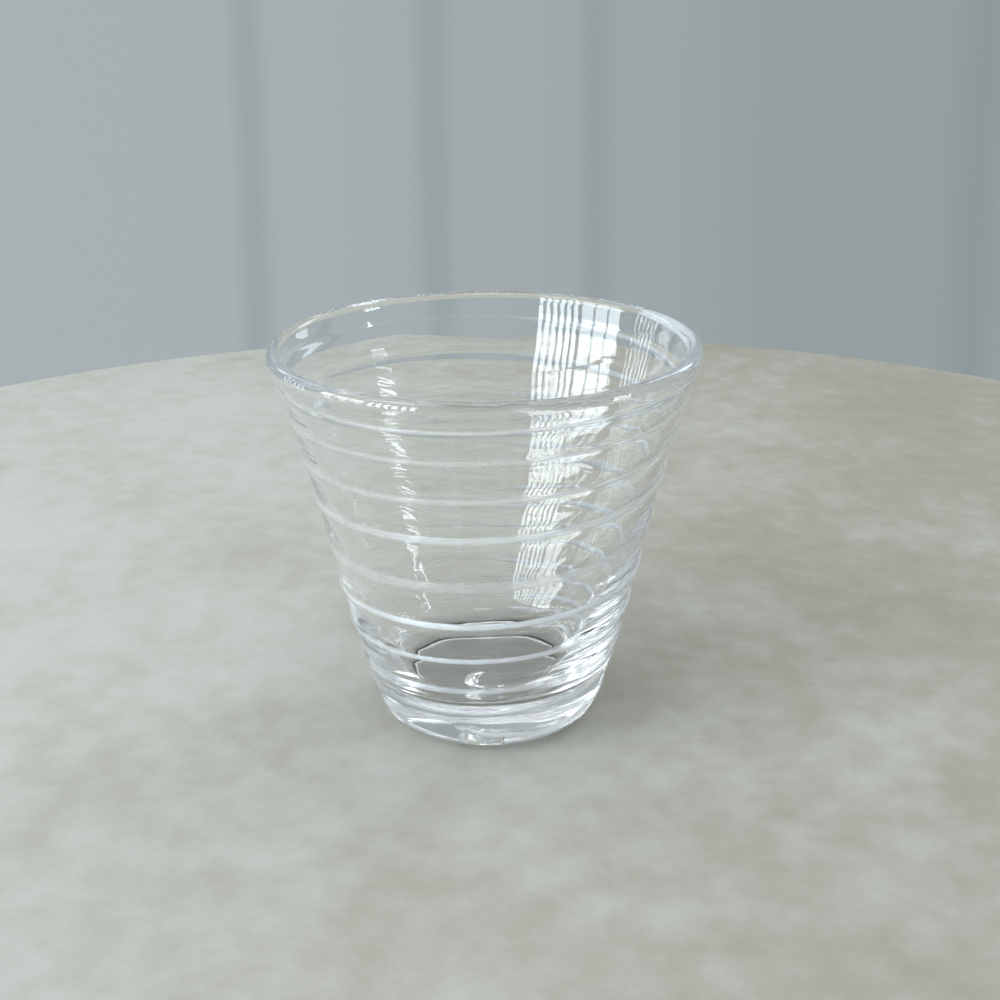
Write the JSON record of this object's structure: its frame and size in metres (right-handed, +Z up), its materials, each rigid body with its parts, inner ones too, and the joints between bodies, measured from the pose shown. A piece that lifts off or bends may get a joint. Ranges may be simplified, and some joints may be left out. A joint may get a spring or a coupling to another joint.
{
  "type": "drinking glass",
  "caption": "Tapered hand-blown tumbler with a thick base, rounded foot and lip, and a raised spiral thread of white glass wound up its wall.",
  "frame": {"origin": "on the axis of the glass, in the plane of the ring that the foot stands on", "axes": "+Z up the axis from foot to lip, -Y the front as the glass was seen, +X to its right"},
  "size_m": [0.0881, 0.088, 0.0824],
  "materials": {
    "clear_glass": "gloss",
    "white_glass": "gloss"
  },
  "bodies": {
    "root": {"glass_body": "clear_glass", "white_thread": "white_glass"}
  },
  "joints": []
}
